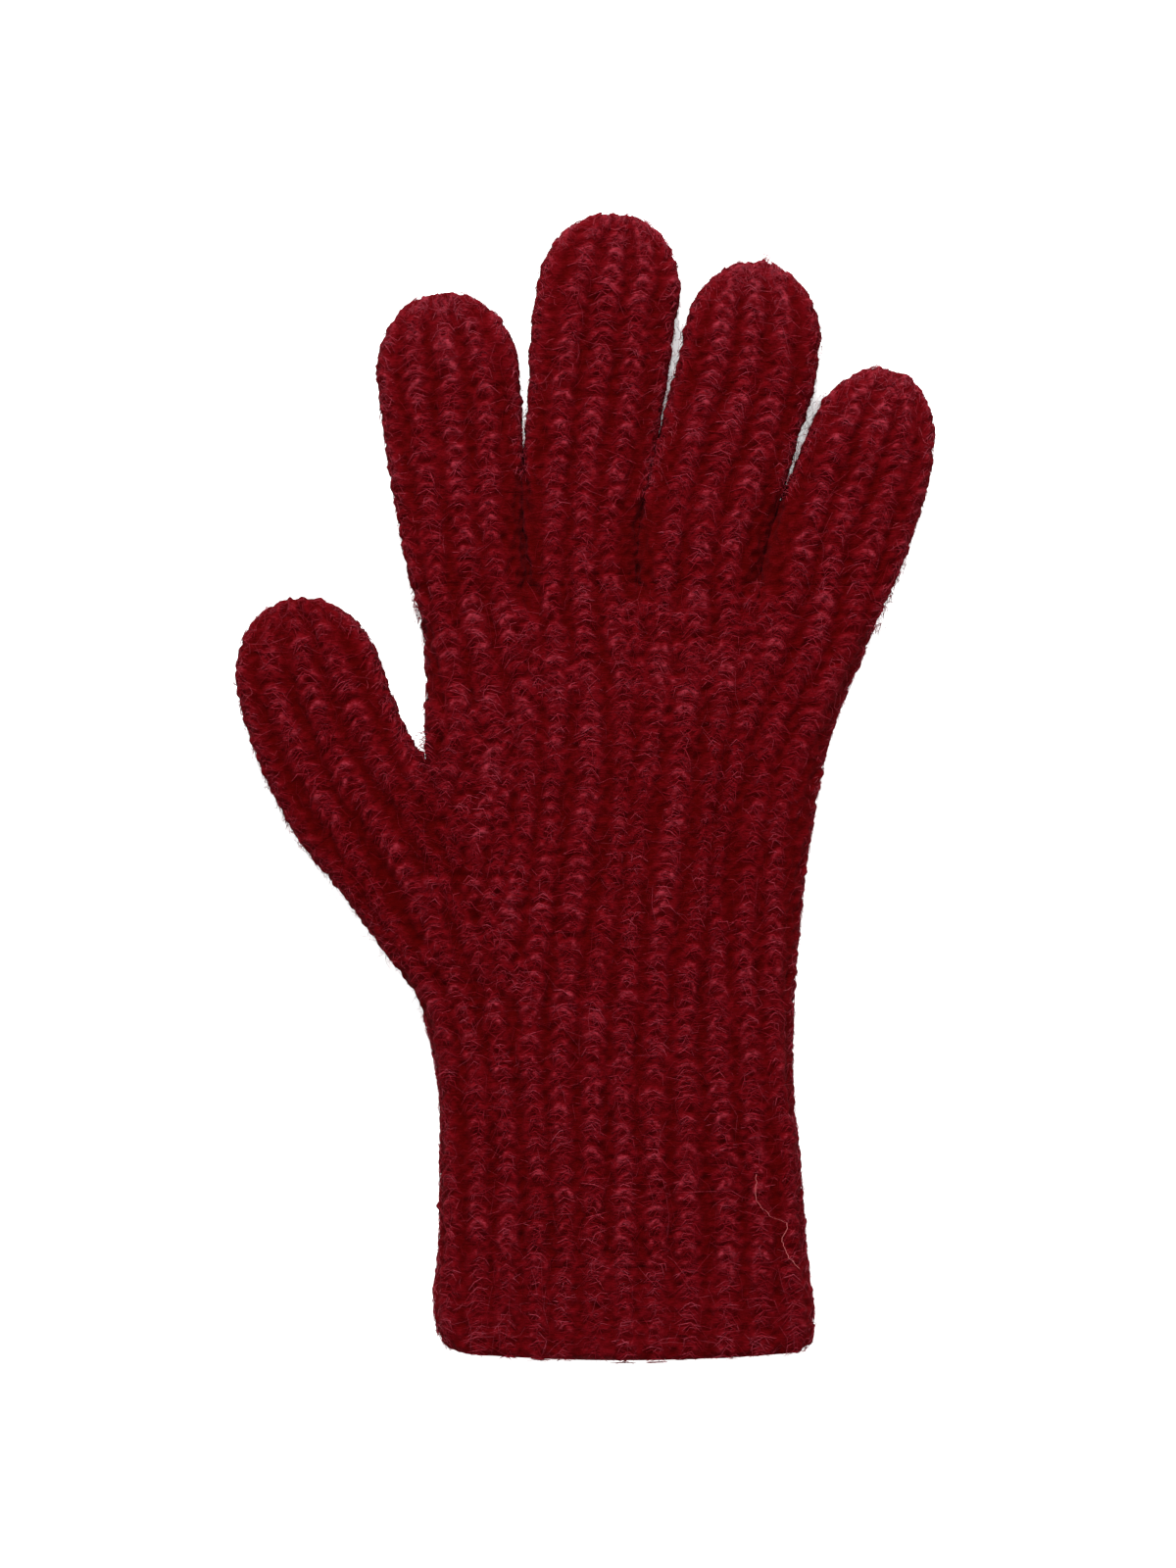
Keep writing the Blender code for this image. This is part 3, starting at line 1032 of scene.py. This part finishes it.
def add_skin(name, section, rings, shade, material, stands=True, flat=(), mouth=False):
    """One closed piece of skin from rings of places. flat lists the gaps between rings that aren't
    shaded smoothly with the rest."""
    count, sides, _ = rings.shape
    faces = grid_faces(count, sides, joined_ends=mouth)
    soft = np.ones(len(faces), bool)
    for gap in flat:
        soft[gap * sides * 2 : (gap + 1) * sides * 2] = False
    if not mouth:
        ends = np.concatenate([end_faces(0, sides, True), end_faces(count - 1, sides, False)])
        soft = np.concatenate([soft, np.zeros(len(ends), bool)])
        faces = np.concatenate([faces, ends])
    place_piece(mesh_object(name, rings, faces, material, shade, soft), section, stands)


def tucked(grid, first, last, under_start=True, under_end=True):
    """A stretch of rings, with one more at an end that is tucked under the next piece."""
    normals = grid_normals(grid)
    rings = [grid[first : last + 1]]
    if under_start:
        rings.insert(0, (2 * grid[first] - grid[first + 1] - normals[first] * TUCK)[None])
    if under_end:
        rings.append((2 * grid[last] - grid[last - 1] - normals[last] * TUCK)[None])
    return np.concatenate(rings)


def stretch_skin(name, section, grid, shade, material, first, last, stands, closed_end=False):
    """A capped piece of a grid of rings, from one of its rings to another."""
    rings = tucked(grid, first, last, True, not closed_end)
    shades = [shade[first : first + 1], shade[first : last + 1]]
    flat = [0]
    if not closed_end:
        shades.append(shade[last : last + 1])
        flat.append(len(rings) - 2)
    add_skin(name, section, rings, np.concatenate(shades), material, stands, flat)


def palm_grid(y_rows, depth, tubes):
    """Rings round the cuff and palm. They part into the fingers' round sections at the palm's end."""
    y = np.repeat(y_rows, PALM_SIDES)
    middle, half_width, half_height = palm_section(y, depth)
    share = np.tile(around_shares(PALM_SIDES), len(y_rows))
    across, up = stadium(half_width, half_height, share)
    x = middle + across
    parting = progress(y, FORK_Y - PARTING, FORK_Y) ** 2
    fingers = np.max([front_of_tube(tubes[name], x, y, depth) for name in FINGERS], axis=0)
    up = up * (1 - parting) + np.sign(up) * np.minimum(fingers, np.abs(up)) * parting
    up = up * (1 - progress(y, FORK_Y - 1.0, FORK_Y + 3.0) * FORK_SINK)
    return np.stack([x, y + bow(x, y), HALF + up], axis=1).reshape(-1, PALM_SIDES, 3)


def front_of_tube(tube, x, y, depth):
    """How far a finger's front stands over its middle plane, over these places."""
    line = tube["points"]
    middle = np.interp(y, line[:, 1], line[:, 0])
    width = np.interp(y, line[:, 1], tube["widths"])
    lean = np.interp(y, line[:-1, 1], np.diff(line[:, 0]) / np.diff(line[:, 1]))
    away = np.abs(x - middle) * np.cos(np.arctan(lean))
    half_height = HALF - depth
    past = np.clip(away - (width / 2 - edge_depth(depth) - half_height), 0, half_height)
    return np.sqrt(half_height**2 - past**2)


def fold_distance(points):
    """How far places are to the palm's side of the line where the thumb's ribs meet the palm's."""
    low, high = np.array(THUMB_FOLD)
    way = unit(high - low)
    return (points[..., 0] - low[0]) * way[1] - (points[..., 1] - low[1]) * way[0]


def rings_at(distances, *cuts):
    """The numbers of the rings that are nearest to these distances."""
    return [int(np.argmin(np.abs(distances - cut))) for cut in cuts]


def lined_skin(section, grid, shade, lining, lip, material, first, last):
    """A ring of fabric that is open at both ends: its outside, then its lining back to its start,
    and the lip that joins them if it has the mouth."""
    inner = int(len(lip) == 0)
    outer = tucked(grid, first, last, bool(inner), True)
    rings = np.concatenate([outer, lining[first : last + 1][::-1], lip])
    shades = np.full(rings.shape[:2], LINING_SHADE)
    shades[inner : len(outer) - 1] = shade[first : last + 1]
    flat = (len(outer) - 2, len(outer) - 1) + (0, len(rings) - 1) * inner
    add_skin(section + "_skin", section, rings, shades, material, True, flat, mouth=True)


def palm_skins(stitch, tree, tubes, material):
    """The hem and the cuff with their lining and open mouth, the wrist and the palm."""
    first_row, fold_top, fade = 1.0, 134.0, 8.0
    y = rows(first_row, HEM_END, CUFF_END, WRIST_END, PALM_END)
    grid = palm_grid(y, SKIN_DEPTH, tubes)
    up = grid[..., 1]
    under_thumb = progress(-fold_distance(grid), 0, FOLD_WIDTH)
    under_thumb *= progress(up, WRIST_END, WRIST_END + fade)
    under_thumb *= progress(up, fold_top, fold_top - fade)
    grid[..., 2] -= np.sign(grid[..., 2] - HALF) * under_thumb * PALM_FOLD_DEPTH
    grid, shade = felted(grid, stitch, tree)
    hem, cuff, wrist, palm, end = rings_at(y, 0, HEM_END, CUFF_END, WRIST_END, PALM_END)
    lining = palm_grid(y[: wrist + 1], LINING_DEPTH, tubes)
    lip = palm_grid(np.array([LIP_Y]), LIP_DEPTH, tubes)
    lined_skin("hem", grid, shade, lining, lip, material, hem, cuff)
    lined_skin("cuff", grid, shade, lining, lip[:0], material, cuff, wrist)
    stretch_skin("wrist_skin", "wrist", grid, shade, material, wrist, palm, False)
    stretch_skin("hand_skin", "hand", grid, shade, material, palm, end, True)


def tube_grid(tube, distances, square, sink):
    """Rings round a finger, turned to lie straight across the hand by `square`, sunk by `sink`."""
    shares = around_shares(FINGER_SIDES)
    rings = []
    for distance, turned, deeper in zip(distances, square, sink):
        ring = on_tube(tube, np.full(FINGER_SIDES, distance), shares, SKIN_DEPTH + deeper)
        middle = smooth(distance, tube["marks"], tube["points"])[0]
        ahead = smooth(distance + PROBE, tube["marks"], tube["points"])[0] - middle
        shift = turned * (ring[:, 1] - middle[1])
        ring[:, 0] -= shift * ahead[0] / ahead[1]
        ring[:, 1] -= shift
        rings.append(ring)
    return np.array(rings)


def dome_rows(tube, start):
    """Distances up to a fingertip's end, closer together as it closes."""
    dome = tube["end"] - DOME_LENGTH
    span = DOME_LENGTH - EDGE_DEPTH
    almost_up, rings = 1.54, 38
    domed = dome + span * np.sin(np.linspace(0, almost_up, rings)[1:])
    return np.concatenate([rows(start, max(dome, start + 2.0)), domed[domed > start + 2.3]])


def tube_skins(names, grid, shade, cuts, material):
    """A finger's or the thumb's pieces, cut at these rings. The first moves with the hand."""
    for name, first, last in zip(names, cuts, cuts[1:]):
        root, end = name == names[0], name == names[-1]
        section = "hand" if root else name
        stretch_skin(name + "_skin", section, grid, shade, material, first, last, not root, end)


def finger_skins(name, tube, stitch, tree, material):
    root = reached(tube, EDGE_RIB_END + 1.0)
    start, second, third = reached(tube, limits(name))
    distances = np.concatenate([rows(root, start, second, third)[:-1], dome_rows(tube, third)])
    dome = tube["end"] - DOME_LENGTH
    square = progress(distances, dome + 1.0, dome - 4.0)
    up = np.interp(distances, tube["marks"], tube["points"][:, 1])
    sink = progress(up, FORK_Y + 1.0, FORK_Y - 3.0)
    grid, shade = felted(tube_grid(tube, distances, square, sink), stitch, tree)
    cuts = rings_at(distances, root, start, second, third, tube["end"])
    names = [f"{name}_{part}" for part in ("root", "knuckle", "middle", "tip")]
    tube_skins(names, grid, shade, cuts, material)


def thumb_skins(tube, stitch, tree, material):
    knuckle = joint_place("thumb_knuckle_bend")
    first = -np.linalg.norm(BENDS["thumb_knuckle"][0] - knuckle) - BEFORE_BEND
    meeting = np.linalg.norm(between("thumb_knuckle", "thumb_tip") - knuckle)
    start = tube["marks"][0]
    distances = np.concatenate([rows(start, first, meeting)[:-1], dome_rows(tube, meeting)])
    sink_length, sink_depth = 14.0, 1.5
    sink = progress(distances, start + sink_length, start) * sink_depth
    grid = tube_grid(tube, distances, np.zeros(len(distances)), sink)
    near_knuckle, below_knuckle = -6.0, -14.0
    under_palm = progress(fold_distance(grid), 0, FOLD_WIDTH)
    under_palm = under_palm * progress(distances, near_knuckle, below_knuckle)[:, None]
    grid[..., 2] -= np.sign(grid[..., 2] - HALF) * under_palm * THUMB_FOLD_DEPTH
    grid, shade = felted(grid, stitch, tree)
    cuts = rings_at(distances, start, first, meeting, tube["end"])
    tube_skins(("ball_of_thumb", "thumb_knuckle", "thumb_tip"), grid, shade, cuts, material)


# ---- the whole glove


def hem_share(y):
    """How much a place belongs to the hem: 1 on it, and 0 just past it."""
    above_hem, on_hem = 24.0, 16.0
    return progress(y, above_hem, on_hem)


def paleness(middles, owner, tubes):
    """How much paler each stitch is painted towards the hem, and towards the fingertips, where it is
    painted light.
    """
    # Paler towards the hem.
    pale = hem_share(middles[:, 1]) * PALER_HEM
    for name, tube in tubes.items():
        away = np.linalg.norm(middles[:, :2] - tube["points"][-1], axis=1)
        palest = THUMB_TIP_PAINTED_LIGHT if name == "thumb" else TIP_PAINTED_LIGHT
        # Painted light: the tips are painted paler, for light from above and the lit fuzz round them.
        tip_tone = palest * np.clip(1 - away / TIP_REACH, 0, 1) ** TIP_FADE
        if name == "thumb":
            tip_tone = tip_tone + THUMB_SHADE
        pale = np.where((owner == name) & (middles[:, 1] > THUMB_START_Y), tip_tone, pale)
    return pale


def make_stitches(tubes):
    """Every stitch of the glove, front and back, and the piece that each belongs to."""
    names = list(FINGERS)
    front = palm_lines(tubes) + fork_lines(tubes) + thumb_lines(tubes["thumb"])
    owners = [names[rib // 3] for rib in range(12)] + [name for name in names for _ in range(2)]
    owners += ["thumb"] * (len(THUMB_RIBS) + 1)
    edges = edge_lines()
    lines = front + [mirrored(*line) for line in front] + edges
    owners = np.array(owners * 2 + ["palm"] * (len(edges) + 1), dtype=object)
    middles, aheads, outs, ribs = stitches_along(lines)
    pitch = nearest_other_rib(middles, ribs)
    kept = pitch > LEAST_PITCH
    middles, aheads, outs, ribs = [part[kept] for part in (middles, aheads, outs, ribs)]
    middles, aheads, outs, ribs = filling_stitches(middles, aheads, outs, ribs)
    pitch = np.concatenate([pitch[kept], np.full(len(middles) - kept.sum(), FILLING_PITCH)])
    middles[:, 1] += bow(middles[:, 0], middles[:, 1])
    owner = owners[ribs]
    count = len(middles)
    row_turn, rib_turn, sway, flattening = 0.13, 2.4, 0.25, 0.55
    wave = np.sin(middles[:, 1] * row_turn + ribs * rib_turn) * sway
    wave = wave + random.normal(0, 0.14, count)
    right = np.cross(aheads, outs)
    hem = hem_share(middles[:, 1])
    side = 1 - np.abs(outs[:, 2])
    narrow = np.clip(pitch / RIB_PITCH, 0.55, 1.05)
    flatter = (1 - flattening * hem) * (1 - flattening * side)
    stitch = {
        "middle": middles + right * wave[:, None] + aheads * random.normal(0, 0.3, (count, 1)),
        "ahead": unit(aheads + right * random.normal(0, 0.11, count)[:, None]),
        "out": outs,
        "wide": narrow * random.normal(1.0, 0.09, count),
        "tall": random.normal(1.0, 0.10, count),
        "high": flatter * np.clip(narrow, 0.6, 1.0) * random.normal(1.0, 0.11, count),
        "skew": random.normal(0, 0.25, count) * (1 + hem),
        # The glove's sides are painted paler: a painted rim light.
        "pale": paleness(middles, owner, tubes) + SIDE_PAINTED_LIGHT * side,
    }
    owner[(owner != "thumb") & (middles[:, 1] < FINGER_START_Y)] = "palm"
    return stitch, piece_of(stitch["middle"], owner)


def tree_of(points):
    tree = KDTree(len(points))
    for index, point in enumerate(points):
        tree.insert(point, index)
    tree.balance()
    return tree


def add_stray_hair(material):
    """One long pale hair that lies on the cuff."""
    places = np.array(STRAY_HAIR)
    steps, waver, half_thickness, sides = 6, 0.12, 0.05, 4
    count = steps * len(places)
    line = smooth(np.linspace(0, len(places) - 1, count), np.arange(len(places)), places)
    line += random.normal(0, waver, line.shape)
    spine = np.column_stack([line, np.full(count, THICKNESS - 0.1)])[None]
    radius = np.full((1, count), half_thickness)
    sideways, upward = np.array([[1.0, 0.0, 0.0]]), np.array([[0.0, 0.0, 1.0]])
    points, faces, _ = spindles(spine, radius, radius, sideways, upward, sides)
    place_piece(mesh_object("stray_hair", points, faces, material, np.ones(points.shape[1])), "cuff")


def build_glove():
    tubes = {name: finger_tube(name) for name in FINGERS}
    tubes["thumb"] = thumb_tube()
    stitch, pieces = make_stitches(tubes)
    tree = tree_of(stitch["middle"])
    felted_wool = wool("felted_wool", FELTED_COLOURS, 0.02, 0.25)
    loose_wool = wool("loose_wool", LOOSE_COLOURS, 0.02, 0.05)
    pile_wool = wool("pile_wool", PILE_COLOURS, 0.1, 0.02)
    pale_hair = wool("pale_hair", PALE_COLOURS, 0.02, 0.02)
    palm_skins(stitch, tree, tubes, felted_wool)
    for name in FINGERS:
        finger_skins(name, tubes[name], stitch, tree, felted_wool)
    thumb_skins(tubes["thumb"], stitch, tree, felted_wool)
    add_stray_hair(pale_hair)
    for section in SECTIONS:
        mine = {key: values[pieces == section] for key, values in stitch.items()}
        add_fibres(strands, section, mine, STRANDS_PER_STITCH, loose_wool)
        add_fibres(hairs, section, mine, HAIRS_PER_STITCH, loose_wool)
        add_fibres(pile, section, mine, pile_counts(mine), pile_wool)


# ---- studio


def add_floor():
    bpy.ops.mesh.primitive_plane_add(size=6.0, location=(0, 0, 0))
    floor = bpy.context.object
    floor.name = "floor"
    floor.data.materials.append(floor_material())


def add_light(name, place, size, power):
    """A round lamp that faces the glove, its place and size in metres and its power in watts."""
    light = bpy.data.lights.new(name, "AREA")
    light.shape = "DISK"
    light.size = size
    light.energy = power
    lamp = bpy.data.objects.new(name, light)
    lamp.location = place
    lamp.rotation_mode = "QUATERNION"
    lamp.rotation_quaternion = (-Vector(place)).to_track_quat("-Z", "Y")
    bpy.context.scene.collection.objects.link(lamp)


def add_studio():
    add_floor()
    bpy.context.scene.view_settings.view_transform = "Standard"
    world = bpy.data.worlds.new("studio")
    bpy.context.scene.world = world
    world.use_nodes = True
    background = world.node_tree.nodes["Background"]
    fill(background, Color=(1.0, 1.0, 1.0, 1.0), Strength=0.75)
    add_light("window", (-0.2, 1.3, 0.95), 0.7, 92.0)
    add_light("overhead", (0.3, -0.1, 1.6), 1.4, 28.0)


def add_camera():
    camera = bpy.data.cameras.new("camera")
    camera.lens = 85.0
    camera.sensor_fit = "VERTICAL"
    camera.sensor_height = 36.0
    distance = VIEW_HEIGHT * METRES * camera.lens / camera.sensor_height
    holder = bpy.data.objects.new("camera", camera)
    holder.location = (0.0003, 0.0004, distance + HALF * METRES)
    bpy.context.scene.collection.objects.link(holder)
    bpy.context.scene.camera = holder


add_camera()
add_studio()
build_glove()
